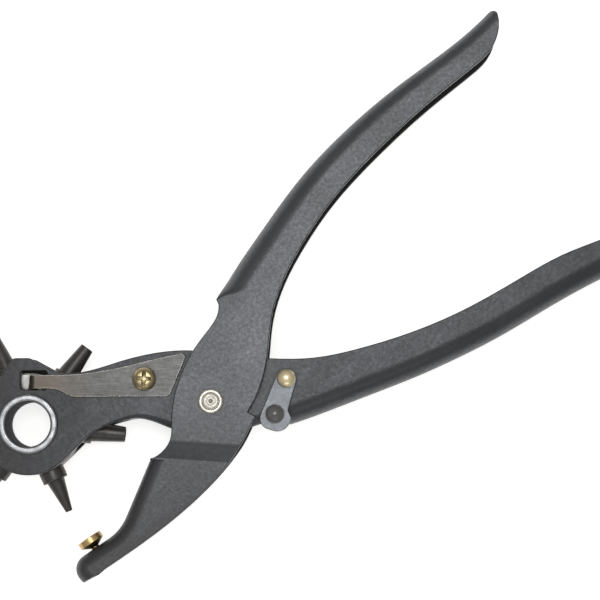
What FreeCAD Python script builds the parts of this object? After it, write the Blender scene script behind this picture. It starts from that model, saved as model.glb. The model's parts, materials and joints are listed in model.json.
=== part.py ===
import FreeCAD, Part
import math
import os

# Rotary hole punch for leather: pressed-steel pliers whose upper jaw carries a
# turret with six hollow punch tubes, and whose lower jaw carries a brass anvil.
#
# Frame, in millimetres: the origin is the centre of the turret axle, +X runs from
# the axle to the main pivot, +Z comes out of the front cheek, and the tool lies on
# its back. The pose is the open one, in which the hidden spring holds the handles.

V = FreeCAD.Vector

# ---------------------------------------------------------------- driving sizes

SHEET = 2.0                  # steel sheet of both arms

PIVOT = (55.6, 0.0)          # main rivet, from the turret axle
CLOSE_ANGLE = 10.5           # turn of the anvil arm until the active tube nearly touches

TURRET_ARM_HALF = 6.8        # half width over the turret arm's cheeks
ANVIL_ARM_HALF = 9.0         # half width over the anvil arm's cheeks and handle
ANVIL_JAW_HALF = 6.5         # half width over the anvil jaw, below its joggle

CREASE_DIRECTION = -101.0    # direction across the joggle, from the pivot to the jaw
CREASE_START = 13.1          # where the cheeks leave the upper plane
CREASE_END = 17.8            # where they reach the jaw's plane

HANDLE_FOLDS = (6.8, 4.4)    # outer bend radius of the anvil arm's handle, at the pivot and the tip
HANDLE_FOLD_ONSET = 7.0       # length over which that bend grows from the flat cheek
HANDLE_TIP_CORNER = 1.6
TURRET_HANDLE_FOLD = 6.2     # outer bend radius of the turret arm's handle
JAW_FOLD = 4.5               # outer bend radius of the anvil jaw
ARCH_FOLD = 2.4              # outer bend radius of the arch under the turret jaw

TURRET_RADIUS = 15.4
TURRET_HALF = 4.6
NOTCH_WIDTH = 2.8            # detent notches for the leaf's foot
AXLE_BORE = 6.8              # open bore through the tubular axle
AXLE_RADIUS = 7.8
AXLE_FLANGE = 9.1
AXLE_BEAD = 0.9              # height of the axle's rolled rims
HEAD_RADIUS = 15.4           # round part of the turret arm's cheeks

TUBE_HOLES = [2.0, 4.5, 4.0, 3.5, 3.0, 2.5]   # anticlockwise from the active tube
TUBE_TIP = 28.8              # radius of the cutting edges
TUBE_COLLAR_END = 18.6
TUBE_COLLAR_RADIUS = 3.9
TUBE_SEAT = 15.0
TUBE_STEM_END = 8.6
TUBE_STEM_RADIUS = 2.5
ACTIVE_ANGLE = -73.1         # direction of the tube that meets the anvil
TUBE_STEP = 60.0
TUBE_SLOT_RADIUS = 29.7      # what the turning tubes need in the arch
TUBE_SLOT_HALF = 3.5

ANVIL_GAP = 0.1              # between the active tube and the anvil with handles closed
ANVIL_RADIUS = 3.9
ANVIL_RIM = 1.9
ANVIL_HEIGHT = 3.7           # top face to the jaw
ANVIL_NECK = 1.3
ANVIL_SHANK = 1.5
ANVIL_TAIL = 1.98            # riveted end, on the flat between the jaw's folds
ANVIL_OFFSET = 1.0           # of the anvil towards the jaw's tip

LEAF = 0.8                   # index spring
LEAF_DIRECTION = -7.1
LEAF_SCREW = (36.5, 9.2)
SCREW_RADIUS = 1.95
SCREW_HEAD = 3.4
NUT_ACROSS = 7.0
NUT_HEIGHT = 3.0

RIVET_RADIUS = 2.6
RIVET_HEAD = 3.75
RIVET_HEAD_HEIGHT = 0.9
SLEEVE_RADIUS = 3.9

WIRE = 0.8                   # radius of the handle spring's wire
COIL_RADIUS = 5.1
COIL_PITCH = 1.9
SPRING_LEG_DOWN = (84.5, -4.3)
SPRING_LEG_UP = (67.2, 33.6)

LATCH_PIVOT = (78.9, 4.1)
LATCH_BUTTON = (74.2, -6.1)
LATCH_FLOOR = TURRET_ARM_HALF + 0.05
LATCH_THICKNESS = 1.5
LATCH_RIVET_RADIUS = 1.5
LATCH_DOME = 2.75

FIT = 0.05                   # radial clearance of a running fit
SLIP = 0.02                  # radial clearance of a fixed shank


# ---------------------------------------------------------------- plane geometry

def polar(radius, degrees, centre=(0.0, 0.0)):
    """The point at this radius and direction from the centre."""
    angle = math.radians(degrees)
    return (centre[0] + radius * math.cos(angle), centre[1] + radius * math.sin(angle))


def turned(point, degrees, centre):
    """The point turned anticlockwise about the centre."""
    dx = point[0] - centre[0]
    dy = point[1] - centre[1]
    c = math.cos(math.radians(degrees))
    s = math.sin(math.radians(degrees))
    return (centre[0] + dx * c - dy * s, centre[1] + dx * s + dy * c)


def flat(point):
    return V(point[0], point[1], 0)


def line(a, b):
    return Part.LineSegment(flat(a), flat(b)).toShape()


def arc(a, middle, b):
    return Part.Arc(flat(a), flat(middle), flat(b)).toShape()


def spline(points):
    """Smooth curve through the points."""
    result = Part.BSplineCurve()
    result.interpolate([flat(p) for p in points])
    return result


def curve(points):
    return spline(points).toShape()


def parallel_curve(points, distance, samples=24):
    """Points of the smooth curve to the left of the one through the points, at this distance."""
    return beside(spline(points), distance, samples)


def beside(base, distance, samples=24):
    """Points to the left of the curve, at this distance."""
    moved = []
    for index in range(samples + 1):
        u = base.FirstParameter + (base.LastParameter - base.FirstParameter) * index / samples
        tangent = base.tangent(u)[0]
        place = base.value(u)
        moved.append((place.x - tangent.y * distance, place.y + tangent.x * distance))
    return moved


def rounded(points, closed=False):
    """Straight runs through (x, y) or (x, y, radius), with the radius at that corner."""
    count = len(points)
    starts = []
    ends = []
    arcs = []
    for index, point in enumerate(points):
        corner = flat(point)
        radius = point[2] if len(point) > 2 else 0.0
        inner = closed or 0 < index < count - 1
        if radius == 0.0 or not inner:
            starts.append(corner)
            ends.append(corner)
            arcs.append(None)
            continue
        back = (flat(points[index - 1]) - corner).normalize()
        ahead = (flat(points[(index + 1) % count]) - corner).normalize()
        half = back.getAngle(ahead) / 2
        reach = radius / math.tan(half)
        bisector = (back + ahead).normalize()
        starts.append(corner + back * reach)
        ends.append(corner + ahead * reach)
        middle = corner + bisector * (radius / math.sin(half) - radius)
        arcs.append(Part.Arc(starts[-1], middle, ends[-1]).toShape())
    edges = []
    for index in range(count):
        if arcs[index]:
            edges.append(arcs[index])
        if index < count - 1 or closed:
            following = starts[(index + 1) % count]
            if (following - ends[index]).Length > 1e-6:
                edges.append(Part.LineSegment(ends[index], following).toShape())
    return edges


def parallel_run(points, distance):
    """The run of (x, y, radius) corners moved to its left, with radii to match."""
    lines = []
    for a, b in zip(points, points[1:]):
        ahead = (flat(b) - flat(a)).normalize()
        side = V(-ahead.y, ahead.x, 0) * distance
        lines.append((flat(a) + side, ahead))
    first = lines[0][0]
    moved = [(first.x, first.y)]
    for index in range(1, len(points) - 1):
        p, d = lines[index - 1]
        q, e = lines[index]
        cross = d.x * e.y - d.y * e.x
        t = ((q.x - p.x) * e.y - (q.y - p.y) * e.x) / cross
        place = p + d * t
        turn = 1 if cross > 0 else -1
        moved.append((place.x, place.y, points[index][2] - turn * distance))
    last, ahead = lines[-1]
    last = last + ahead * (flat(points[-1]) - flat(points[-2])).Length
    moved.append((last.x, last.y))
    return moved


# ---------------------------------------------------------------- solid helpers

def prism(edges, low, high):
    """Straight-sided solid from a closed outline, between two heights."""
    face = Part.Face(Part.Wire(Part.__sortEdges__(edges)))
    face.translate(V(0, 0, low))
    return face.extrude(V(0, 0, high - low))


def cylinder(radius, low, high, centre=(0.0, 0.0)):
    return Part.makeCylinder(radius, high - low, V(centre[0], centre[1], low))


def turned_piece(profile, centre=(0.0, 0.0)):
    """Solid of revolution about a Z axis, from a closed (radius, z) profile."""
    edges = rounded(profile, closed=True)
    face = Part.Face(Part.Wire(edges))
    face.rotate(V(0, 0, 0), V(1, 0, 0), 90)
    solid = face.revolve(V(0, 0, 0), V(0, 0, 1), 360)
    solid.translate(V(centre[0], centre[1], 0))
    return solid


def laid_along(solid, start, direction):
    """A solid of revolution about Z, laid with its axis in the XY plane."""
    solid.rotate(V(0, 0, 0), V(0, 1, 0), 90)
    solid.rotate(V(0, 0, 0), V(0, 0, 1), direction)
    solid.translate(flat(start))
    return solid


def edges_along(solid, path, half):
    """The solid's edges that lie over or under the path, at this half width."""
    guide = Part.Compound(path)
    found = []
    for edge in solid.Edges:
        places = [edge.valueAt(edge.FirstParameter + (edge.LastParameter - edge.FirstParameter) * t)
                  for t in (0.1, 0.5, 0.9)]
        level = all(abs(abs(p.z) - half) < 0.01 for p in places)
        if level and all(guide.distToShape(Part.Vertex(p.x, p.y, 0))[0] < 0.02 for p in places):
            found.append(edge)
    return found


def with_rounded_strip(body, base, radii, half, side=1):
    """The body with edges rounded along the curve, from a first radius to a last.

    The inside of the body is on this side of the curve (1 is left)."""
    inner = beside(base, side * (max(radii) + 1.0))
    first = base.value(base.FirstParameter)
    last = base.value(base.LastParameter)
    strip = [base.toShape(), line((last.x, last.y), inner[-1]), curve(inner), line(inner[0], (first.x, first.y))]
    sharp = prism(strip, -half, half)
    smooth = sharp.makeFillet(*radii, edges_along(sharp, strip[:1], half))
    return body.cut(sharp).fuse(smooth.common(body))


def save(name, shape):
    shape = shape.removeSplitter()
    if not shape.isValid():
        print("not valid:", name)
    print(name, "solids", len(shape.Solids), "volume", round(shape.Volume, 1))
    shape.exportStep("parts/" + name + ".step")


# ---------------------------------------------------------------- anvil arm

ANVIL_TOP = turned(polar(TUBE_TIP + ANVIL_GAP, ACTIVE_ANGLE), CLOSE_ANGLE, PIVOT)
ANVIL_AXIS = ACTIVE_ANGLE + 180.0 + CLOSE_ANGLE       # out of the anvil's top face
ANVIL_SEAT = polar(ANVIL_HEIGHT, ANVIL_AXIS + 180.0, ANVIL_TOP)
ANVIL_CENTRE = polar(ANVIL_OFFSET, ANVIL_AXIS + 90.0, ANVIL_TOP)

HANDLE_BACK = [(60.9, 30.2), (66.7, 38.0), (77.1, 49.9), (90.4, 63.9), (103.4, 74.8),
               (125.7, 89.4), (144.8, 100.4), (154.9, 108.0)]
HANDLE_FRONT = [(154.9, 108.0), (155.7, 103.5), (154.8, 99.0), (152.0, 94.5), (146.5, 90.3),
                (133.3, 82.1), (114.3, 68.5), (100.0, 56.3), (88.3, 43.0), (80.8, 31.8),
                (76.2, 20.5), (74.3, 12.0), (71.1, 3.1), (66.2, -4.5)]
LATCH_TOOTH = (68.6, -6.3)
JAW_FRONT = [(67.2, -7.6), (61.8, -15.6), (54.0, -23.3), (40.6, -33.2), (26.0, -41.7), (10.4, -49.6)]
JAW_BACK = [(10.4, -49.6), polar(10.7, ANVIL_AXIS + 90.0, ANVIL_SEAT) + (4.6,),
            polar(8.4, ANVIL_AXIS - 90.0, ANVIL_SEAT) + (15.0,), (35.0, -14.9)]
JAW_CORE = [(40.0, -24.0), (30.0, -34.0), (16.0, -47.0)]
PIVOT_BACK = [(35.0, -14.9), (38.9, -13.3), (42.0, -10.0), (43.1, -4.8), (44.5, 1.8), (48.0, 9.7),
              (53.0, 16.8), (57.6, 21.6), (60.4, 25.0), (61.4, 28.6)]


def joggled(jaw_half, arm_half, top_bend, low_bend):
    """Everything between two mirrored sheets that step inwards below the pivot."""
    far = 180.0
    edge = [(-far, arm_half), (CREASE_START, arm_half, top_bend),
            (CREASE_END, jaw_half, low_bend), (far, jaw_half)]
    mirror = [(p[0], -p[1]) + tuple(p[2:]) for p in reversed(edge)]
    face = Part.Face(Part.Wire(rounded(edge + mirror, closed=True)))
    solid = face.extrude(V(0, 0, 2 * far))
    across = flat(polar(1.0, CREASE_DIRECTION))
    along = across.cross(V(0, 0, 1))
    turn = FreeCAD.Rotation(across, V(0, 0, 1), along, "XYZ")
    solid.Placement = FreeCAD.Placement(flat(PIVOT) - along * far, turn)
    return solid


def with_rounded_jaw(body, path, radius, half):
    """The body with the edges along the jaw's back rounded, up to the jaw's upper corner."""
    corner = flat(JAW_BACK[-1])
    across = flat(polar(60.0, CREASE_DIRECTION))
    along = flat(polar(60.0, CREASE_DIRECTION + 90.0))
    below = [corner - along, corner - along + across, corner + along + across, corner + along]
    region = prism(rounded([(p.x, p.y) for p in below], closed=True), -half - 1.0, half + 1.0)
    jaw = body.common(region)
    jaw = jaw.makeFillet(radius, edges_along(jaw, path, half))
    return body.cut(region).fuse(jaw)


def anvil_arm():
    """One folded sheet: two cheeks, joined along the handle's back and the jaw's back."""
    handle_back = [curve(HANDLE_BACK)]
    jaw_back = rounded(JAW_BACK)
    tooth = rounded([HANDLE_FRONT[-1], LATCH_TOOTH + (0.5,), JAW_FRONT[0]])
    outline = handle_back + [curve(HANDLE_FRONT)] + tooth + [curve(JAW_FRONT)] + jaw_back
    outline += [curve(PIVOT_BACK), line(PIVOT_BACK[-1], HANDLE_BACK[0])]
    body = prism(outline, -ANVIL_ARM_HALF, ANVIL_ARM_HALF)
    tip = flat(HANDLE_BACK[-1])
    tip_edges = [edge for edge in body.Edges
                 if all(V(v.X - tip.x, v.Y - tip.y, 0).Length < 0.01 for v in edge.Vertexes)]
    body = body.makeFillet(HANDLE_TIP_CORNER, tip_edges)
    back = spline(HANDLE_BACK)
    onset = back.parameterAtDistance(HANDLE_FOLD_ONSET, back.FirstParameter)
    grown = spline(HANDLE_BACK)
    grown.segment(back.FirstParameter, onset)
    back.segment(onset, back.LastParameter)
    body = with_rounded_strip(body, grown, (0.6, HANDLE_FOLDS[0]), ANVIL_ARM_HALF, -1)
    body = with_rounded_strip(body, back, HANDLE_FOLDS, ANVIL_ARM_HALF, -1)
    body = body.common(joggled(ANVIL_JAW_HALF, ANVIL_ARM_HALF, 4.0, 0.8))
    body = with_rounded_jaw(body, jaw_back, JAW_FOLD, ANVIL_JAW_HALF)

    handle_inside = parallel_curve(HANDLE_BACK, -SHEET)
    jaw_inside = parallel_run(JAW_BACK, -SHEET)
    below_tip = (jaw_inside[0][0] + 4.0, jaw_inside[0][1] - 8.0)
    around = [handle_inside[-1], (170.0, 112.0), (170.0, 80.0), (110.0, 40.0), (92.0, 0.0),
              (70.0, -40.0), below_tip, jaw_inside[0]]
    outside = [jaw_inside[-1], (31.0, -12.0), (30.0, 10.0), (48.0, 34.0), (58.0, 32.4), handle_inside[0]]
    space = [curve(handle_inside)] + rounded(around) + rounded(jaw_inside) + rounded(outside)
    inner_half = ANVIL_ARM_HALF - SHEET
    hollow = prism(space, -inner_half, inner_half)
    hollow = hollow.makeFillet(HANDLE_FOLDS[0] - SHEET, HANDLE_FOLDS[1] - SHEET,
                               edges_along(hollow, [curve(handle_inside)], inner_half))
    jaw_inner = ANVIL_JAW_HALF - SHEET
    hollow = hollow.common(joggled(jaw_inner, inner_half, 2.0, 2.8))
    jaw_path = rounded(jaw_inside)
    core = prism(jaw_path + rounded([jaw_inside[-1]] + JAW_CORE + [jaw_inside[0]]), -jaw_inner, jaw_inner)
    smooth = core.makeFillet(JAW_FOLD - SHEET, edges_along(core, jaw_path, jaw_inner))
    hollow = hollow.cut(core).fuse(smooth.common(hollow))
    arm = body.cut(hollow)
    arm = arm.cut(cylinder(RIVET_RADIUS + FIT, -20, 20, PIVOT))
    shank = Part.makeCylinder(ANVIL_SHANK + SLIP, 8.0)
    arm = arm.cut(laid_along(shank, ANVIL_CENTRE, ANVIL_AXIS + 180.0))
    return arm


def anvil():
    """Brass anvil: rim, cone, neck, and a shank riveted over inside the jaw."""
    inside = ANVIL_HEIGHT + SHEET
    profile = [(0, 0), (ANVIL_RADIUS, 0, 0.2), (ANVIL_RADIUS, ANVIL_RIM, 0.2),
               (ANVIL_NECK, ANVIL_HEIGHT - 0.5), (ANVIL_NECK, ANVIL_HEIGHT), (ANVIL_SHANK, ANVIL_HEIGHT),
               (ANVIL_SHANK, inside), (ANVIL_TAIL, inside), (ANVIL_TAIL, inside + 0.7, 0.3), (0, inside + 0.9)]
    return laid_along(turned_piece(profile), ANVIL_CENTRE, ANVIL_AXIS + 180.0)


# ---------------------------------------------------------------- turret arm

ARM_TOP = [(12.0, 14.1), (18.0, 13.6), (29.0, 15.3), (40.0, 16.6), (51.0, 16.1), (63.0, 13.2),
           (76.0, 10.5), (88.0, 9.3), (102.0, 10.4), (118.0, 13.3), (134.0, 17.9), (152.0, 25.2),
           (166.0, 30.8), (177.5, 33.8), (183.7, 34.8), (188.9, 33.7), (192.8, 31.2), (195.5, 27.5)]
ARM_BACK = [(78.1, -9.8), (85.7, -8.2), (101.8, -4.2), (117.9, -0.1), (132.0, 4.3), (146.0, 9.5),
            (159.0, 15.2), (171.5, 20.4), (183.0, 24.3), (195.5, 27.5)]
ARM_UNDER = [(46.4, -4.9), (50.2, -9.2), (56.0, -11.0), (62.5, -10.0), (69.0, -8.4), (77.4, -8.8)]
NECK = [(0.5, -15.4), (4.4, -14.6), (8.5, -12.5), (11.3, -10.5), (13.5, -8.8), (15.7, -7.1), (17.9, -5.5),
        (20.6, -4.2)]
ARCH = [(20.6, -4.2), (23.6, -3.3), (28.6, -2.4), (32.2, -2.2), (36.0, -3.2), (40.0, -5.2), (44.6, -7.6)]
HEAD_BUMP = [(9.6, 14.9, 4.0), (2.8, 19.8, 2.5), (-2.6, 20.4, 2.5), (-6.5, 15.3, 3.0)]
WINDOW_CENTRE = (3.3, 12.95)
WINDOW = (8.2, 5.7)


def window():
    """Rounded opening in the front cheek for the tip of the index spring."""
    w = WINDOW[0] / 2
    h = WINDOW[1] / 2
    corners = [(-w, -h, 1.0), (w, -h, 1.0), (w, h, 1.0), (-w, h, 1.0)]
    solid = prism(rounded(corners, closed=True), TURRET_ARM_HALF - SHEET - 0.5, TURRET_ARM_HALF + 0.5)
    solid.rotate(V(0, 0, 0), V(0, 0, 1), LEAF_DIRECTION)
    solid.translate(flat(WINDOW_CENTRE))
    return solid


def turret_arm():
    """One folded sheet: two cheeks, joined under the arch and along the handle's back."""
    arch = [curve(ARCH)]
    back = [curve(ARM_BACK)]
    left = polar(HEAD_RADIUS, 150.0)
    outline = [curve(ARM_TOP)] + rounded([ARM_TOP[0]] + HEAD_BUMP + [left])
    outline += [arc(left, polar(HEAD_RADIUS, -130.0), NECK[0]), curve(NECK)] + arch
    outline += [line(ARCH[-1], ARM_UNDER[0]), curve(ARM_UNDER), line(ARM_UNDER[-1], ARM_BACK[0])] + back
    body = prism(outline, -TURRET_ARM_HALF, TURRET_ARM_HALF)
    body = body.makeFillet(TURRET_HANDLE_FOLD, edges_along(body, back, TURRET_ARM_HALF))
    body = with_rounded_strip(body, spline(ARCH), (0.5, ARCH_FOLD), TURRET_ARM_HALF)

    inner_half = TURRET_ARM_HALF - SHEET
    arch_inside = parallel_curve(ARCH, SHEET)
    back_inside = parallel_curve(ARM_BACK, SHEET)
    around = [back_inside[-1], (204.0, 40.0), (130.0, 45.0), (20.0, 40.0), (-30.0, 20.0), (-30.0, -20.0),
              (12.0, -20.0), arch_inside[0]]
    under = [arch_inside[-1], (44.0, -14.0), (76.0, -16.0), back_inside[0]]
    space = [curve(back_inside)] + rounded(around) + [curve(arch_inside)] + rounded(under)
    hollow = prism(space, -inner_half, inner_half)
    hollow = hollow.makeFillet(ARCH_FOLD - SHEET,
                               edges_along(hollow, [curve(arch_inside)], inner_half))
    hollow = hollow.makeFillet(TURRET_HANDLE_FOLD - SHEET,
                               edges_along(hollow, [curve(back_inside)], inner_half))
    arm = body.cut(hollow)
    arm = arm.cut(cylinder(TUBE_SLOT_RADIUS, -TUBE_SLOT_HALF, TUBE_SLOT_HALF))
    arm = arm.cut(cylinder(AXLE_RADIUS + SLIP, -20, 20))
    arm = arm.cut(cylinder(RIVET_RADIUS + SLIP, -20, 20, PIVOT))
    arm = arm.cut(window())
    arm = arm.cut(cylinder(SCREW_RADIUS + SLIP, 0, 20, LEAF_SCREW))
    arm = arm.cut(cylinder(LATCH_RIVET_RADIUS + SLIP, 0, 20, LATCH_PIVOT))
    return arm


def turret_axle():
    """Tubular rivet, flanged over both cheeks and open right through."""
    seat = TURRET_ARM_HALF
    top = seat + AXLE_BEAD
    profile = [(AXLE_BORE, -top, 0.8), (AXLE_FLANGE, -top, 0.85), (AXLE_FLANGE, -seat), (AXLE_RADIUS, -seat),
               (AXLE_RADIUS, seat), (AXLE_FLANGE, seat), (AXLE_FLANGE, top, 0.85), (AXLE_BORE, top, 0.8)]
    return turned_piece(profile)


# ---------------------------------------------------------------- turret

def turret_wheel():
    """Hub with six threaded seats round its rim and six detent notches on its front."""
    bore = AXLE_RADIUS + 0.08
    profile = [(bore, -TURRET_HALF), (TURRET_RADIUS, -TURRET_HALF, 0.5), (TURRET_RADIUS, TURRET_HALF, 0.5),
               (bore, TURRET_HALF)]
    wheel = turned_piece(profile)
    for step in range(len(TUBE_HOLES)):
        angle = ACTIVE_ANGLE + step * TUBE_STEP
        stem = Part.makeCylinder(TUBE_STEM_RADIUS + SLIP, TURRET_RADIUS)
        wheel = wheel.cut(laid_along(stem, (0.0, 0.0), angle))
        face = Part.makeCylinder(TUBE_COLLAR_RADIUS + 0.2, 5.0)
        wheel = wheel.cut(laid_along(face, polar(TUBE_SEAT, angle), angle))
        notch = Part.makeBox(4.8, NOTCH_WIDTH, 2.0, V(10.0, -NOTCH_WIDTH / 2, TURRET_HALF - 1.0))
        notch.rotate(V(0, 0, 0), V(0, 0, 1), angle + TUBE_STEP / 2)
        wheel = wheel.cut(notch)
    return wheel


def punch_tube(hole, angle):
    """Hollow punch: threaded stem, collar, cone, and a sharp mouth of this size."""
    base = 2.75 + 0.18 * (hole - 2.0)
    mouth = hole / 2 - 0.15
    edge = hole / 2 + 0.05
    throat = hole / 2 + 0.25
    profile = [(throat, TUBE_STEM_END), (TUBE_STEM_RADIUS, TUBE_STEM_END),
               (TUBE_STEM_RADIUS, TUBE_SEAT), (TUBE_COLLAR_RADIUS, TUBE_SEAT),
               (TUBE_COLLAR_RADIUS, TUBE_COLLAR_END, 0.25), (base, TUBE_COLLAR_END),
               (edge, TUBE_TIP), (mouth, TUBE_TIP), (mouth, TUBE_TIP - 3.0), (throat, TUBE_TIP - 5.0)]
    return laid_along(turned_piece(profile), (0.0, 0.0), angle)


# ---------------------------------------------------------------- index spring

LEAF_TIP = 2.4               # along the leaf, where its end turns down
LEAF_WIDTH = (10.13, 14.2)    # across the leaf's narrow end


def index_spring():
    """Leaf that lies on the front cheek and drops through the window into a notch."""
    top = [(5.2, 14.3), (9.0, 13.8), (16.0, 13.15), (24.0, 13.15), (32.0, 13.75), (40.0, 14.7), (47.0, 15.3)]
    under = [(15.6, 6.3), (13.4, 7.0), (10.6, 8.9), (8.2, 9.7), (5.2, 10.1)]
    rear = [top[-1], (50.4, 15.6, 1.2), (43.3, 3.0, 1.8), under[0]]
    low = TURRET_ARM_HALF
    high = low + LEAF
    blade = prism([curve(top), line(under[-1], top[0]), curve(under)] + rounded(rear), low, high)
    end = 5.2
    bend = 1.4
    foot = 4.0
    profile = [(end + 0.3, high), (LEAF_TIP, high, bend), (LEAF_TIP - 0.5, foot, 0.3),
               (LEAF_TIP - 0.5 + LEAF, foot, 0.3), (LEAF_TIP + LEAF, low, bend - LEAF), (end + 0.3, low)]
    face = Part.Face(Part.Wire(rounded(profile, closed=True)))
    face.rotate(V(0, 0, 0), V(1, 0, 0), 90)
    face.translate(V(0, LEAF_WIDTH[0], 0))
    tip = face.extrude(V(0, LEAF_WIDTH[1] - LEAF_WIDTH[0], 0))
    tip.rotate(V(end, 12.4, 0), V(0, 0, 1), LEAF_DIRECTION)
    leaf = blade.fuse(tip)
    return leaf.cut(cylinder(SCREW_RADIUS + FIT, 0, 20, LEAF_SCREW))


def cross_recess(centre, top, depth):
    """Cross-shaped driver recess."""
    recess = None
    for turn in (-10.0, 80.0):
        slot = Part.makeBox(4.6, 0.9, depth, V(-2.3, -0.45, 0))
        slot.rotate(V(0, 0, 0), V(0, 0, 1), turn)
        recess = slot if recess is None else recess.fuse(slot)
    recess.translate(V(centre[0], centre[1], top - depth + 0.05))
    return recess


def index_spring_screw():
    """Pan-head screw through the leaf and the front cheek."""
    seat = TURRET_ARM_HALF + LEAF
    profile = [(0, 0.8), (SCREW_RADIUS, 0.8, 0.3), (SCREW_RADIUS, seat), (SCREW_HEAD, seat),
               (SCREW_HEAD, seat + 1.0, 0.3), (2.4, seat + 2.0, 1.5), (0, seat + 2.1)]
    screw = turned_piece(profile, LEAF_SCREW)
    return screw.cut(cross_recess(LEAF_SCREW, seat + 2.1, 1.3))


def index_spring_nut():
    """Hexagon nut against the inside of the front cheek."""
    high = TURRET_ARM_HALF - SHEET
    corner = NUT_ACROSS / math.sqrt(3)
    corners = [polar(corner, 60 * k + 22.9, LEAF_SCREW) for k in range(6)]
    nut = prism(rounded(corners, closed=True), high - NUT_HEIGHT, high)
    return nut.cut(cylinder(SCREW_RADIUS + SLIP, -10, 10, LEAF_SCREW))


# ---------------------------------------------------------------- pivot

def main_rivet():
    """Shouldered rivet: ringed head in front, plain riveted head behind."""
    seat = ANVIL_ARM_HALF
    top = seat + RIVET_HEAD_HEIGHT
    profile = [(0, -seat - 0.9), (2.9, -seat - 0.8, 0.6), (4.0, -seat, 0), (RIVET_RADIUS, -seat),
               (RIVET_RADIUS, seat), (RIVET_HEAD, seat), (RIVET_HEAD, seat + 0.55, 0.25),
               (3.3, top, 0.2), (2.75, top, 0.1), (2.35, top - 0.35), (2.1, top - 0.05, 0.15),
               (1.6, top - 0.02), (1.4, top - 0.14), (1.2, top - 0.02), (0.6, top), (0.3, top - 0.3),
               (0, top - 0.3)]
    return turned_piece(profile, PIVOT)


def pivot_sleeve():
    """Spacer between the turret arm's cheeks, inside the spring's coil."""
    half = TURRET_ARM_HALF - SHEET
    profile = [(RIVET_RADIUS + SLIP, -half), (SLEEVE_RADIUS, -half, 0.2), (SLEEVE_RADIUS, half, 0.2),
               (RIVET_RADIUS + SLIP, half)]
    return turned_piece(profile, PIVOT)


def wire_run(start, end):
    """Straight wire between two points in space."""
    way = end - start
    return Part.makeCylinder(WIRE, way.Length, start, way)


def handle_spring():
    """Torsion spring round the sleeve, one leg behind each handle's fold."""
    rise = flat(SPRING_LEG_UP) - flat(PIVOT)
    lift = math.degrees(math.atan2(rise.y, rise.x)) + math.degrees(math.acos(COIL_RADIUS / rise.Length))
    fall = flat(SPRING_LEG_DOWN) - flat(PIVOT)
    drop = math.degrees(math.atan2(fall.y, fall.x)) - math.degrees(math.acos(COIL_RADIUS / fall.Length))
    sweep = drop - lift + 1440.0
    height = COIL_PITCH * sweep / 360.0
    low = -height / 2
    coil = Part.makeHelix(COIL_PITCH, height, COIL_RADIUS, 0, True)
    coil.rotate(V(0, 0, 0), V(0, 0, 1), drop)
    coil.translate(V(PIVOT[0], PIVOT[1], low))
    start = coil.Vertexes[0].Point
    finish = coil.Vertexes[-1].Point
    ring = Part.Wire(Part.makeCircle(WIRE, start, coil.Edges[0].tangentAt(coil.Edges[0].FirstParameter)))
    turns = Part.Wire(coil.Edges).makePipeShell([ring], True, True)
    below = wire_run(V(SPRING_LEG_DOWN[0], SPRING_LEG_DOWN[1], start.z), start)
    above = wire_run(finish, V(SPRING_LEG_UP[0], SPRING_LEG_UP[1], finish.z))
    knee = WIRE + 0.04
    lower = Part.makeSphere(knee, start).fuse(below)
    upper = Part.makeSphere(knee, finish).fuse(above)
    return turns.fuse(lower).fuse(upper)


# ---------------------------------------------------------------- latch

def latch_plate():
    """Locking plate: its toe catches the tooth of the anvil arm when the handles are shut."""
    outline = [(77.6, 8.1, 2.95), (68.1, -8.9, 3.4), (76.5, -12.6, 3.9), (79.0, -7.9, 1.0), (78.2, -5.5, 1.4),
               (82.9, 5.4, 2.95)]
    low = LATCH_FLOOR
    plate = prism(rounded(outline, closed=True), low, low + LATCH_THICKNESS)
    plate = plate.cut(cylinder(LATCH_RIVET_RADIUS + FIT, 0, 20, LATCH_PIVOT))
    return plate.cut(cylinder(1.3 + SLIP, 0, 20, LATCH_BUTTON))


def dome(radius, height, base, centre):
    """Ball-topped head of this radius, standing on the base level."""
    rim = 0.35
    crown = height - rim
    ball = (radius * radius + crown * crown) / (2 * crown)
    cap = Part.makeSphere(ball, V(centre[0], centre[1], base + height - ball))
    cap = cap.common(cylinder(radius + 1.0, base + rim, base + height + 1.0, centre))
    return cap.fuse(cylinder(radius, base, base + rim, centre))


def latch_rivet():
    """Domed rivet that the latch swings on."""
    seat = LATCH_FLOOR + LATCH_THICKNESS + 0.05
    inside = TURRET_ARM_HALF - SHEET - 0.5
    profile = [(0, inside - 0.9), (2.3, inside - 0.8, 0.4), (2.3, inside), (LATCH_RIVET_RADIUS, inside),
               (LATCH_RIVET_RADIUS, seat), (0, seat)]
    return turned_piece(profile, LATCH_PIVOT).fuse(dome(LATCH_DOME, 1.6, seat, LATCH_PIVOT))


def latch_washer():
    """Washer under the latch rivet's tail, inside the cheek."""
    high = TURRET_ARM_HALF - SHEET
    profile = [(LATCH_RIVET_RADIUS + SLIP, high - 0.5), (3.2, high - 0.5), (3.2, high),
               (LATCH_RIVET_RADIUS + SLIP, high)]
    return turned_piece(profile, LATCH_PIVOT)


def latch_button():
    """Domed thumb stud, riveted into the latch plate."""
    seat = LATCH_FLOOR + LATCH_THICKNESS
    shank = cylinder(1.3, LATCH_FLOOR, seat, LATCH_BUTTON)
    return shank.fuse(dome(LATCH_DOME, 1.6, seat, LATCH_BUTTON))


# ---------------------------------------------------------------- write the pieces

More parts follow.
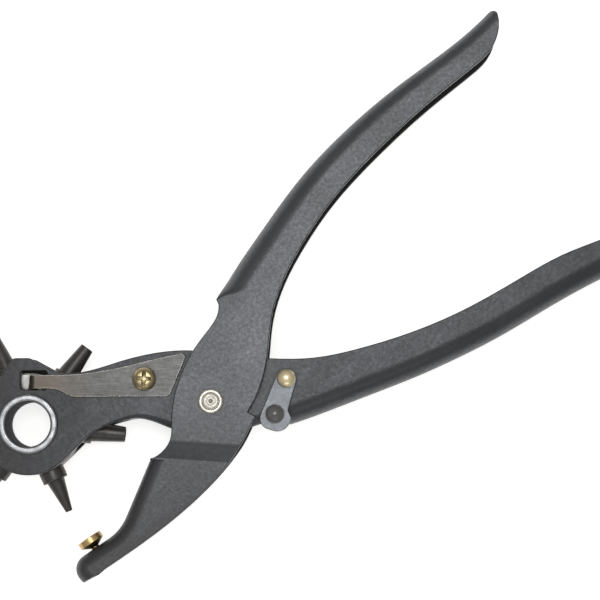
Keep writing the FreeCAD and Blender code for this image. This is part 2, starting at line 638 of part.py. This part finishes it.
def main():
    os.makedirs("parts", exist_ok=True)
    save("turret_arm", turret_arm())
    save("anvil_arm", anvil_arm())
    save("anvil", anvil())
    save("turret_wheel", turret_wheel())
    save("turret_axle", turret_axle())
    for step, hole in enumerate(TUBE_HOLES):
        name = "punch_tube_" + str(hole).replace(".", "_") + "mm"
        save(name, punch_tube(hole, ACTIVE_ANGLE + step * TUBE_STEP))
    save("index_spring", index_spring())
    save("index_spring_screw", index_spring_screw())
    save("index_spring_nut", index_spring_nut())
    save("main_rivet", main_rivet())
    save("pivot_sleeve", pivot_sleeve())
    save("handle_spring", handle_spring())
    save("latch_plate", latch_plate())
    save("latch_rivet", latch_rivet())
    save("latch_washer", latch_washer())
    save("latch_button", latch_button())


main()
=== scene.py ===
import json
import math

import bmesh
import bpy
from mathutils import Matrix, Vector
from mathutils.bvhtree import BVHTree
from mathutils.kdtree import KDTree


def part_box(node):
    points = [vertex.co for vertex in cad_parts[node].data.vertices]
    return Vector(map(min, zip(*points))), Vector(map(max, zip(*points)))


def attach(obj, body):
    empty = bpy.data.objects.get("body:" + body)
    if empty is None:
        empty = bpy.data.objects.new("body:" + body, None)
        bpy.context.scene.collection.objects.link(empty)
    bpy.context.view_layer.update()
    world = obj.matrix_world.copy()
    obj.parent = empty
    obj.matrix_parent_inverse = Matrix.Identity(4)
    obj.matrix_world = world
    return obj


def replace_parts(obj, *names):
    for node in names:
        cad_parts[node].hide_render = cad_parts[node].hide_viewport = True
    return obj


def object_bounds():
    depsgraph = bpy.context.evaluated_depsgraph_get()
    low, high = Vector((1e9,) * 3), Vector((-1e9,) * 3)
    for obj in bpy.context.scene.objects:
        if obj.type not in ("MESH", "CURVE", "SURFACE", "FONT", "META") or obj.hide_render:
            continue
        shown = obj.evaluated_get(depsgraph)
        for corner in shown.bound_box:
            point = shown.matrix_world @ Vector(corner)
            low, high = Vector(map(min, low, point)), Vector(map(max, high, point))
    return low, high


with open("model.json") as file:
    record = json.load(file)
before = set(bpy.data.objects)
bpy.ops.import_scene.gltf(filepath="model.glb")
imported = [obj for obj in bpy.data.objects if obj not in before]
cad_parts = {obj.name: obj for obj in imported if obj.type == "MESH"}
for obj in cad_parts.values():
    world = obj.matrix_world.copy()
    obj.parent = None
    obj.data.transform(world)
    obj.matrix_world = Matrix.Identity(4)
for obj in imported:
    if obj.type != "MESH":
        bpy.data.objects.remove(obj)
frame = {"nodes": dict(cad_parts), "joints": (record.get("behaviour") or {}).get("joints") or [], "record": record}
cad_box = [list(corner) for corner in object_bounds()]

# Everything is in metres in the frame of the CAD model: the turret axle stands on the
# origin, +X runs to the main rivet and on along the handles, +Z comes out of the front.

MM = 0.001
PIVOT = Vector(frame["joints"][0]["pos_m"])


# ---------------------------------------------------------------- node helpers

class Surface:
    """One procedural material; its methods add nodes and hand back their output sockets."""

    def __init__(self, name, **values):
        self.material = bpy.data.materials.new(name)
        self.material.use_nodes = True
        self.tree = self.material.node_tree
        self.shader = self.tree.nodes["Principled BSDF"]
        self.place = self.add("ShaderNodeTexCoord").outputs["Object"]
        for key, value in values.items():
            self.shader.inputs[key.replace("_", " ")].default_value = value

    def add(self, kind, inputs=None, **settings):
        node = self.tree.nodes.new(kind)
        for key, value in settings.items():
            setattr(node, key, value)
        for key, value in (inputs or {}).items():
            if isinstance(value, bpy.types.NodeSocket):
                self.tree.links.new(value, node.inputs[key])
            else:
                node.inputs[key].default_value = value
        return node

    def link(self, name, socket):
        self.tree.links.new(socket, self.shader.inputs[name])

    def noise(self, scale, detail=3.0, roughness=0.55, at=None, stretch=None, turn=0.0):
        """Noise with this many features to the metre; stretch scales the axes, turn is about Z."""
        place = at or self.place
        if stretch:
            about_z = (0, 0, -math.radians(turn))
            place = self.add("ShaderNodeMapping", {"Vector": place, "Rotation": about_z}).outputs[0]
            place = self.add("ShaderNodeVectorMath", {0: place, 1: stretch}, operation="MULTIPLY").outputs[0]
        made = self.add("ShaderNodeTexNoise", {"Vector": place, "Scale": scale, "Detail": detail,
                                               "Roughness": roughness})
        return made.outputs["Fac"]

    def span(self, socket, low, high, to_low=0.0, to_high=1.0):
        made = self.add("ShaderNodeMapRange", {"Value": socket, "From Min": low, "From Max": high,
                                               "To Min": to_low, "To Max": to_high})
        return made.outputs["Result"]

    def sums(self, operation, a, b):
        return self.add("ShaderNodeMath", {0: a, 1: b}, operation=operation).outputs[0]

    def mix(self, factor, a, b):
        made = self.add("ShaderNodeMix", {"Factor": factor}, data_type="RGBA")
        for index, value in ((6, a), (7, b)):
            if isinstance(value, bpy.types.NodeSocket):
                self.tree.links.new(value, made.inputs[index])
            else:
                made.inputs[index].default_value = (*value, 1.0)
        return made.outputs[2]

    def bump(self, height, depth, below=None):
        inputs = {"Height": height, "Distance": depth, "Strength": 1.0}
        if below:
            inputs["Normal"] = below
        return self.add("ShaderNodeBump", inputs).outputs[0]

    def edges(self, radius, low=0.02, high=0.25):
        """1 along the outer edges and 0 on flat ground."""
        soft = self.add("ShaderNodeBevel", {"Radius": radius}, samples=6).outputs[0]
        sharp = self.add("ShaderNodeNewGeometry").outputs["Normal"]
        dot = self.add("ShaderNodeVectorMath", {0: soft, 1: sharp}, operation="DOT_PRODUCT").outputs["Value"]
        near = self.sums("SUBTRACT", 1.0, dot)
        return self.span(near, low, high)

    def corner_shade(self, reach):
        """Mask of painted shade: 1 deep in corners and recesses no wider than the reach, 0 in the open."""
        open_share = self.add("ShaderNodeAmbientOcclusion", {"Distance": reach}, samples=6).outputs["AO"]
        return self.span(open_share, 0.85, 0.50, 0.0, 0.92)

    def rings(self, centre=(0, 0, 0), axis=(0, 0, 1)):
        """The distance from an axis, for marks of turning."""
        away = self.add("ShaderNodeVectorMath", {0: self.place, 1: centre}, operation="SUBTRACT").outputs[0]
        cross = self.add("ShaderNodeVectorMath", {0: away, 1: axis}, operation="CROSS_PRODUCT").outputs[0]
        return self.add("ShaderNodeVectorMath", {0: cross}, operation="LENGTH").outputs["Value"]

    def turning(self, distance, pitch):
        """Fine uneven grooves at this pitch along a distance."""
        place = self.add("ShaderNodeCombineXYZ", {"X": distance}).outputs[0]
        return self.noise(1.0 / pitch, 2.0, 0.6, at=place)


def coat(name, base, patch, gloss, dark_end_axis, dark_end_span):
    """Satin dark coat on pressed steel: mottled, orange-peeled, rubbed through along the edges.

    The coat is darker and rougher towards the second end of the span along one axis,
    and dark and matt on the inner faces of the folded sheet."""
    made = Surface(name, IOR=1.5, Specular_IOR_Level=gloss, Specular_Tint=(0.93, 0.96, 1.0, 1.0))
    along = made.add("ShaderNodeSeparateXYZ", {"Vector": made.place}).outputs[dark_end_axis]
    cloud = made.span(made.noise(45.0, 5.0, 0.6), 0.35, 0.68)
    mottle = made.span(made.noise(1100.0, 4.0, 0.6), 0.32, 0.68)
    speck = made.span(made.noise(1500.0, 3.0, 0.7), 0.60, 0.76)
    scuff_and_highlight = made.span(made.noise(160.0, 6.0, 0.72, stretch=(0.25, 1.6, 1.0), turn=35.0), 0.54, 0.78)
    dark_end_share = made.sums("MAXIMUM", made.span(along, *dark_end_span), 0.0)
    edge_mark = made.sums("MULTIPLY", made.edges(0.45 * MM), made.span(made.noise(320.0, 5.0, 0.7), 0.42, 0.72))
    # Cloudy lighter patches: partly uneven tone of the coat, partly a painted sheen.
    colour = made.mix(cloud, base, patch)
    colour = made.mix(made.sums("MULTIPLY", mottle, 0.40), colour, [c * 0.45 for c in base])
    # Darker towards the second end of the span along one axis.
    colour = made.mix(made.sums("MULTIPLY", dark_end_share, 0.75), colour, (0.010, 0.008, 0.008))
    # Lighter, glossier streaks: partly scuffs, partly a painted streak highlight.
    colour = made.mix(made.sums("MULTIPLY", scuff_and_highlight, 0.35), colour, [c * 2.0 for c in patch])
    colour = made.mix(made.sums("MULTIPLY", speck, 0.22), colour, (0.17, 0.17, 0.175))
    colour = made.mix(made.sums("MULTIPLY", edge_mark, 0.75), colour, (0.30, 0.30, 0.30))
    facing = made.add("ShaderNodeTexCoord").outputs["Normal"]
    facing = made.add("ShaderNodeSeparateXYZ", {"Vector": facing}).outputs["Z"]
    height = made.add("ShaderNodeSeparateXYZ", {"Vector": made.place}).outputs["Z"]
    inside = made.span(made.sums("MULTIPLY", facing, height), -1.5 * MM, -4.0 * MM)
    # Painted shade in corners and recesses; the inner faces of the folded sheet are made dark and matt.
    colour = made.mix(made.sums("MAXIMUM", made.corner_shade(1.2 * MM), inside), colour, (0.011, 0.010, 0.009))
    made.link("Base Color", colour)
    rough = made.sums("ADD", made.span(mottle, 0, 1, 0.36, 0.47), made.span(scuff_and_highlight, 0, 1, 0.0, -0.07))
    rough = made.sums("ADD", rough, made.sums("MULTIPLY", dark_end_share, 0.08))
    rough = made.sums("ADD", rough, made.sums("MULTIPLY", cloud, -0.05))
    made.link("Roughness", made.sums("MAXIMUM", rough, made.sums("MULTIPLY", inside, 0.85)))
    made.link("Metallic", made.sums("MULTIPLY", edge_mark, 0.6))
    peel = made.bump(made.noise(2400.0, 2.0, 0.5), 0.006 * MM)
    made.link("Normal", made.bump(made.noise(720.0, 3.0, 0.55), 0.062 * MM, peel))
    return made.material


def turned_metal(name, colour, tint, rough, centre=(0, 0, 0), axis=(0, 0, 1), pitch=0.12 * MM,
                 depth=0.004 * MM, metallic=1.0, edge=(0.75, 0.75, 0.74), edge_share=0.6,
                 bore_shade=None, beyond=None):
    """Lathe-turned metal: fine rings about its axis, cloudy tint, rubbed edges, painted shade in the corners.

    A bore's wall inside a given radius can take a painted shade of a given colour; beyond is (height, colour) of
    faces past it along Z."""
    made = Surface(name, Metallic=metallic, Specular_IOR_Level=0.8)
    away = made.rings(centre, axis)
    ring = made.turning(away, pitch)
    cloud = made.span(made.noise(420.0, 5.0, 0.62), 0.36, 0.66)
    speck = made.span(made.noise(2400.0, 2.0, 0.6), 0.60, 0.74)
    body = made.mix(cloud, colour, tint)
    body = made.mix(made.sums("MULTIPLY", speck, 0.4), body, [c * 0.4 for c in tint])
    # Painted shade on the bore's wall: darker, matt and not metallic inside the radius.
    if bore_shade:
        made.link("Metallic", made.span(away, bore_shade[0], bore_shade[0] + 0.4 * MM, 0.0, metallic))
        body = made.mix(made.span(away, bore_shade[0], bore_shade[0] + 0.4 * MM, 1.0, 0.0), body, bore_shade[1])
    if beyond:
        height = made.add("ShaderNodeSeparateXYZ", {"Vector": made.place}).outputs["Z"]
        height = made.sums("ABSOLUTE", height, 0.0)
        body = made.mix(made.span(height, beyond[0], beyond[0] + 0.1 * MM), body, beyond[1])
    edge_mark = made.sums("MULTIPLY", made.edges(0.25 * MM), made.span(made.noise(700.0, 4.0, 0.7), 0.40, 0.66))
    body = made.mix(made.sums("MULTIPLY", edge_mark, edge_share), body, edge)
    # The base colour carries painted shade in corners and recesses.
    made.link("Base Color", made.mix(made.corner_shade(1.3 * MM), body, [c * 0.10 for c in tint]))
    shine = made.sums("ADD", made.span(cloud, 0, 1, rough, rough + 0.12),
                      made.span(ring, 0.3, 0.7, -0.04, 0.06))
    if bore_shade:
        wall = made.span(away, bore_shade[0], bore_shade[0] + 0.4 * MM, 0.9, 0.0)
        shine = made.sums("MAXIMUM", shine, wall)
    made.link("Roughness", shine)
    made.link("Normal", made.bump(ring, depth, made.bump(made.noise(1500.0, 3.0, 0.6), 0.003 * MM)))
    return made.material


def brushed_metal(name, colour, tint, rough, turn, along=0.05, edge=(0.8, 0.8, 0.8), warm=None):
    """Sheet metal with grain in one direction; warm adds a straw tint towards one end."""
    made = Surface(name, Metallic=1.0)
    grain = made.noise(4200.0, 2.0, 0.6, stretch=(along, 1.0, 1.0), turn=turn)
    scratch = made.span(made.noise(1300.0, 4.0, 0.7, stretch=(0.03, 1.0, 1.0), turn=turn + 4.0), 0.58, 0.74)
    cloud = made.span(made.noise(150.0, 5.0, 0.6), 0.36, 0.66)
    mottle = made.span(made.noise(900.0, 3.0, 0.6), 0.35, 0.65)
    body = made.mix(cloud, colour, tint)
    body = made.mix(made.sums("MULTIPLY", mottle, 0.35), body, [c * 0.6 for c in tint])
    body = made.mix(made.sums("MULTIPLY", scratch, 0.4), body, [c * 1.7 for c in colour])
    if warm:
        reach = made.add("ShaderNodeSeparateXYZ", {"Vector": made.place}).outputs["X"]
        share = made.span(made.sums("ADD", reach, made.span(cloud, 0, 1, -0.003, 0.003)), warm[0], warm[1])
        body = made.mix(made.sums("MULTIPLY", share, 0.75), body, warm[2])
    # The edges are lighter and glossier: partly rubbed bright, partly a painted highlight.
    edge_mark = made.edges(0.45 * MM, 0.01, 0.14)
    body = made.mix(made.sums("MULTIPLY", edge_mark, 0.85), body, edge)
    # The base colour carries painted shade in corners and recesses.
    made.link("Base Color", made.mix(made.corner_shade(0.8 * MM), body, [c * 0.15 for c in tint]))
    made.link("Roughness", made.sums("ADD", made.span(grain, 0.3, 0.7, rough - 0.05, rough + 0.08),
                                     made.span(edge_mark, 0, 1, 0.0, -0.08)))
    made.link("Normal", made.bump(grain, 0.005 * MM, made.bump(made.noise(700.0, 3.0, 0.5), 0.010 * MM)))
    return made.material


# ---------------------------------------------------------------- materials

ANVIL_ANGLE = math.radians(117.4)      # the anvil's axis, measured from +X
ANVIL_DIRECTION = Vector((math.cos(ANVIL_ANGLE), math.sin(ANVIL_ANGLE), 0.0))
LEAF_ANGLE = -7.1                      # the leaf's grain runs along it, degrees from +X
WHEEL_RIM = 4.3 * MM                   # the wheel's machined faces lie beyond this height
AXLE_SHADE_RADIUS = 6.85 * MM                  # painted shade on the axle's bore wall lies inside this radius
LEAF_TINT_SPAN = (0.020, 0.004)        # X from plain to straw-coloured steel, m


def middle(node):
    """The centre of a CAD node's box."""
    return sum((Vector(corner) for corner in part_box(node)), Vector()) / 2


MATERIALS = {
    "turret_arm": coat("turret_arm_coat", (0.016, 0.018, 0.023), (0.034, 0.037, 0.045), 0.63,
                       "X", (0.035, -0.010)),
    "anvil_arm": coat("anvil_arm_coat", (0.020, 0.023, 0.029), (0.044, 0.049, 0.060), 0.90,
                      "Y", (-0.002, -0.034)),
    "anvil": turned_metal("brass_anvil", (0.66, 0.49, 0.24), (0.44, 0.31, 0.15), 0.28,
                          middle("anvil"), ANVIL_DIRECTION, edge=(0.85, 0.72, 0.45)),
    "turret_wheel": turned_metal("turret_steel", (0.085, 0.082, 0.078), (0.060, 0.058, 0.055), 0.34,
                                 beyond=(WHEEL_RIM, (0.40, 0.40, 0.39))),
    # The axle's bore wall gets a painted shade.
    "turret_axle": turned_metal("axle_zinc", (0.40, 0.41, 0.43), (0.27, 0.28, 0.30), 0.24, depth=0.003 * MM,
                                bore_shade=(AXLE_SHADE_RADIUS, (0.030, 0.030, 0.032))),
    "punch_tube": turned_metal("black_oxide", (0.050, 0.047, 0.044), (0.026, 0.026, 0.025), 0.34,
                               pitch=0.16 * MM, depth=0.006 * MM, metallic=0.35,
                               edge=(0.30, 0.29, 0.27), edge_share=0.45),
    # The leaf's light edge colour is partly a painted highlight.
    "index_spring": brushed_metal("leaf_steel", (0.105, 0.106, 0.104), (0.077, 0.077, 0.076), 0.34, LEAF_ANGLE,
                                  edge=(0.60, 0.58, 0.55), warm=(*LEAF_TINT_SPAN, (0.105, 0.086, 0.068))),
    "index_spring_screw": turned_metal("yellow_zinc", (0.47, 0.39, 0.22), (0.33, 0.27, 0.16), 0.24,
                                       middle("index_spring_screw"), edge=(0.80, 0.72, 0.48)),
    "main_rivet": turned_metal("bright_nickel", (0.60, 0.585, 0.53), (0.49, 0.475, 0.43), 0.34, PIVOT,
                               pitch=0.2 * MM, edge=(0.80, 0.79, 0.74)),
    "pivot_sleeve": turned_metal("plain_steel", (0.40, 0.40, 0.40), (0.30, 0.30, 0.31), 0.36, PIVOT),
    "handle_spring": brushed_metal("spring_wire", (0.22, 0.22, 0.225), (0.15, 0.15, 0.155), 0.34, 20.0),
    "latch_plate": brushed_metal("latch_steel", (0.215, 0.227, 0.245), (0.165, 0.177, 0.192), 0.42, 65.0,
                                 along=0.4, edge=(0.46, 0.48, 0.51)),
    "latch_rivet": turned_metal("bright_brass", (0.90, 0.81, 0.56), (0.80, 0.70, 0.43), 0.22,
                                middle("latch_rivet"), depth=0.001 * MM, edge=(0.90, 0.80, 0.52)),
    "latch_button": turned_metal("black_stud", (0.105, 0.105, 0.108), (0.075, 0.075, 0.078), 0.18,
                                 middle("latch_button"), depth=0.001 * MM, metallic=0.0,
                                 edge=(0.12, 0.12, 0.12)),
}
MATERIALS["index_spring_nut"] = MATERIALS["index_spring_screw"]
MATERIALS["latch_washer"] = MATERIALS["pivot_sleeve"]


# ---------------------------------------------------------------- pieces

SLOTS = {part["node"]: part["material_slot"] for part in frame["record"]["subparts"]}
BODIES = {node: body for body, nodes in frame["record"]["behaviour"]["bodies"].items() for node in nodes}
SHARP = math.radians(27.0)             # edges past this angle are rounded off
SMOOTH = math.radians(38.0)            # edges below this angle are shaded smooth
MERGE = 3e-6                           # vertices closer than this are one, m
COPLANAR = math.radians(0.04)          # faces within this angle are merged
MENDING_ROUNDS = 30


def strays(work, surface, marks, old, width):
    """New vertices that the rounding threw off the surface or far along it."""
    found = set()
    for vertex in work.verts:
        if old.find(vertex.co)[2] < 1e-8:
            continue
        if surface.find_nearest(vertex.co)[3] > width or marks.find(vertex.co)[2] > 2.2 * width:
            found.add(vertex)
    return found


def point_tree(points):
    tree = KDTree(len(points))
    for index, point in enumerate(points):
        tree.insert(point, index)
    tree.balance()
    return tree


def round_edges(work, width, segments, box):
    """Rounds every sharp edge off, then draws stray vertices back to their neighbours."""
    surface = BVHTree.FromBMesh(work)
    sharp = [edge for edge in work.edges if edge.is_manifold and edge.calc_face_angle(0.0) > SHARP]
    if not sharp:
        return
    spots = []
    for edge in sharp:
        a, b = (vertex.co for vertex in edge.verts)
        steps = max(1, int((a - b).length / (width * 0.5)))
        spots += [a.lerp(b, step / steps) for step in range(steps + 1)]
    old = point_tree([vertex.co.copy() for vertex in work.verts])
    bmesh.ops.bevel(work, geom=sharp, offset=width, offset_type="OFFSET", segments=segments, profile=0.5,
                    affect="EDGES", clamp_overlap=False, loop_slide=False)
    loose = strays(work, surface, point_tree(spots), old, width)
    for attempt in range(MENDING_ROUNDS):
        mended = {}
        for vertex in loose:
            near = [edge.other_vert(vertex).co for edge in vertex.link_edges
                    if edge.other_vert(vertex) not in loose]
            if near:
                mended[vertex] = sum(near, Vector()) / len(near)
        for vertex, place in mended.items():
            vertex.co = place
        loose -= set(mended)
    low, high = box
    for vertex in work.verts:
        vertex.co = [min(max(c, a), b) for c, a, b in zip(vertex.co, low, high)]


def finished(name, work, node, body):
    """The mesh as a piece that rides on the body, with the node's material."""
    mesh = bpy.data.meshes.new(name)
    work.to_mesh(mesh)
    work.free()
    piece = bpy.data.objects.new(name, mesh)
    bpy.context.scene.collection.objects.link(piece)
    for face in mesh.polygons:
        face.use_smooth = True
    mesh.set_sharp_from_angle(angle=SMOOTH)
    mesh.materials.append(MATERIALS["punch_tube" if node.startswith("punch_tube") else node])
    weights = piece.modifiers.new("flat faces stay flat", "WEIGHTED_NORMAL")
    weights.mode = "FACE_AREA"
    weights.keep_sharp = True
    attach(piece, body)
    return piece


def cad_mesh(node):
    """The CAD node's mesh with its doubled vertices and coplanar triangles merged."""
    work = bmesh.new()
    work.from_mesh(frame["nodes"][node].data)
    bmesh.ops.remove_doubles(work, verts=work.verts, dist=MERGE)
    bmesh.ops.dissolve_limit(work, angle_limit=COPLANAR, verts=work.verts, edges=work.edges)
    return work


def refined(node, width, segments=2):
    """A copy of a CAD node with its sharp edges rounded off, which stands for that node."""
    work = cad_mesh(node)
    if width:
        round_edges(work, width, segments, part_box(node))
    if node == "index_spring":
        for vertex in work.verts:
            vertex.co.z = max(vertex.co.z, WHEEL_FACE)
    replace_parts(finished(node + ".fine", work, node, BODIES[node]), node)


def rounded_rod(start, end, radius, around=20, rings=5):
    """A round rod between two points, with a ball at each end."""
    work = bmesh.new()
    way = (end - start).normalized()
    side = way.cross(Vector((0.0, 0.0, 1.0))).normalized()
    up = way.cross(side)
    stations = []
    for ring in range(rings, 0, -1):
        angle = math.pi / 2 * ring / (rings + 1)
        stations.append((start - way * radius * math.sin(angle), radius * math.cos(angle)))
    stations += [(start, radius), (end, radius)]
    for ring in range(1, rings + 1):
        angle = math.pi / 2 * ring / (rings + 1)
        stations.append((end + way * radius * math.sin(angle), radius * math.cos(angle)))
    loops = []
    for centre, size in stations:
        loop = []
        for step in range(around):
            turn = 2 * math.pi * step / around
            loop.append(work.verts.new(centre + (side * math.cos(turn) + up * math.sin(turn)) * size))
        loops.append(loop)
    for a, b in zip(loops, loops[1:]):
        for step in range(around):
            following = (step + 1) % around
            work.faces.new((a[step], a[following], b[following], b[step]))
    work.faces.new(loops[0])
    work.faces.new(loops[-1])
    bmesh.ops.recalc_face_normals(work, faces=work.faces)
    return work


def handle_spring():
    """The torsion spring in two pieces: its coil and one leg stay with the turret arm, and the
    other leg swings with the anvil arm, which is where each end bears."""
    work = cad_mesh("handle_spring")
    leg = [vertex for vertex in work.verts
           if vertex.co.z > 0 and (vertex.co - PIVOT).xy.length > COIL_RADIUS + 1.2 * WIRE]
    tip = max(leg, key=lambda vertex: (vertex.co - PIVOT).xy.length).co.copy()
    height = sum(vertex.co.z for vertex in leg) / len(leg)
    reach = (tip - PIVOT).xy
    lift = math.atan2(reach.y, reach.x) + math.acos(COIL_RADIUS / reach.length)
    knee = Vector((PIVOT.x + COIL_RADIUS * math.cos(lift), PIVOT.y + COIL_RADIUS * math.sin(lift), height))
    bmesh.ops.delete(work, geom=leg, context="VERTS")
    bmesh.ops.holes_fill(work, edges=[edge for edge in work.edges if edge.is_boundary])
    coil = finished("handle_spring.coil", work, "handle_spring", BODIES["handle_spring"])
    end = Vector((tip.x, tip.y, height))
    end += (knee - end).normalized() * WIRE
    swing = finished("handle_spring.leg", rounded_rod(knee, end, WIRE), "handle_spring", BODIES["anvil_arm"])
    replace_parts(coil, "handle_spring")
    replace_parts(swing, "handle_spring")


COIL_RADIUS = 5.1 * MM                 # of the spring, to the middle of the wire
WIRE = 0.8 * MM                        # half the wire's thickness
WHEEL_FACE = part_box("turret_wheel")[1][2] + 0.02 * MM      # where the leaf's foot ends
# How far from a sharp edge the rounding starts, mm.
EDGE = {"turret_arm": 0.35, "anvil_arm": 0.35, "index_spring": 0.15, "index_spring_nut": 0.15,
        "latch_plate": 0.28, "latch_washer": 0.08}
for node in SLOTS:
    if node != "handle_spring":
        refined(node, EDGE.get(node, 0.0) * MM)
handle_spring()


# ---------------------------------------------------------------- camera, light, floor

LENS = 124.35                          # mm
CAMERA_PLACE = (0.0923, -0.0192, 0.629)
# The tool lies turned in the photo's frame, and the camera is a little off square to it.
CAMERA_TURNS = [(-7.07, "Z"), (2.151, "X"), (1.11, "Y"), (-0.038, "Z")]
# The surroundings are dim near the horizon and brighter overhead.
SKY_COLOUR = (0.97, 0.93, 0.88, 1.0)
SKY_SLOPE = (0.05, 0.90)               # upward part of the direction
SKY_STRENGTH = (0.26, 0.60)
FLOOR_HALF = 30.0
FLOOR_GAP = 0.2 * MM

camera_data = bpy.data.cameras.new("camera")
camera = bpy.data.objects.new("camera", camera_data)
bpy.context.scene.collection.objects.link(camera)
bpy.context.scene.camera = camera
camera_data.sensor_width = 36.0
camera_data.lens = LENS
camera_data.shift_y = 0.12
camera_data.clip_start = 0.01
camera_data.clip_end = 20.0
camera_data.dof.use_dof = False
facing = Matrix.Identity(4)
for degrees, axis in CAMERA_TURNS:
    facing = facing @ Matrix.Rotation(math.radians(degrees), 4, axis)
camera.matrix_world = Matrix.Translation(CAMERA_PLACE) @ facing


def soft_light(name, place, target, size, watts):
    """A rectangular studio light that faces the target."""
    data = bpy.data.lights.new(name, "AREA")
    data.shape = "RECTANGLE"
    data.size, data.size_y = size
    data.energy = watts
    lamp = bpy.data.objects.new(name, data)
    lamp.location = place
    lamp.rotation_euler = (Vector(target) - Vector(place)).to_track_quat("-Z", "Y").to_euler()
    bpy.context.scene.collection.objects.link(lamp)


soft_light("overhead", (0.09, 0.20, 1.5), (0.09, 0.05, 0.0), (0.55, 0.5), 5.5)
soft_light("low_front", (0.08, -1.1, 0.85), (0.08, 0.0, 0.0), (0.8, 0.4), 1.3)

world = bpy.data.worlds.new("studio")
bpy.context.scene.world = world
world.use_nodes = True
world.node_tree.nodes["Background"].inputs["Color"].default_value = SKY_COLOUR
sky = world.node_tree
direction = sky.nodes.new("ShaderNodeTexCoord").outputs["Generated"]
height = sky.nodes.new("ShaderNodeSeparateXYZ")
sky.links.new(direction, height.inputs[0])
glow = sky.nodes.new("ShaderNodeMapRange")
glow.inputs["From Min"].default_value, glow.inputs["From Max"].default_value = SKY_SLOPE
glow.inputs["To Min"].default_value, glow.inputs["To Max"].default_value = SKY_STRENGTH
sky.links.new(height.outputs["Z"], glow.inputs["Value"])
sky.links.new(glow.outputs[0], sky.nodes["Background"].inputs["Strength"])

floor_mesh = bpy.data.meshes.new("floor")
level = cad_box[0][2] - FLOOR_GAP
corners = [(x * FLOOR_HALF, y * FLOOR_HALF, level) for x, y in ((-1, -1), (1, -1), (1, 1), (-1, 1))]
floor_mesh.from_pydata(corners, [], [(0, 1, 2, 3)])
floor = bpy.data.objects.new("floor", floor_mesh)
bpy.context.scene.collection.objects.link(floor)
paper = Surface("pale_floor", Roughness=0.9, Specular_IOR_Level=0.2, Emission_Color=(1.0, 1.0, 1.0, 1.0),
                Emission_Strength=0.68)
paper.link("Base Color", paper.mix(paper.noise(30.0, 4.0), (0.90, 0.90, 0.89), (0.86, 0.86, 0.855)))
paper.link("Normal", paper.bump(paper.noise(1800.0, 2.0), 0.01 * MM))
floor_mesh.materials.append(paper.material)

bpy.context.scene.view_settings.view_transform = "Standard"
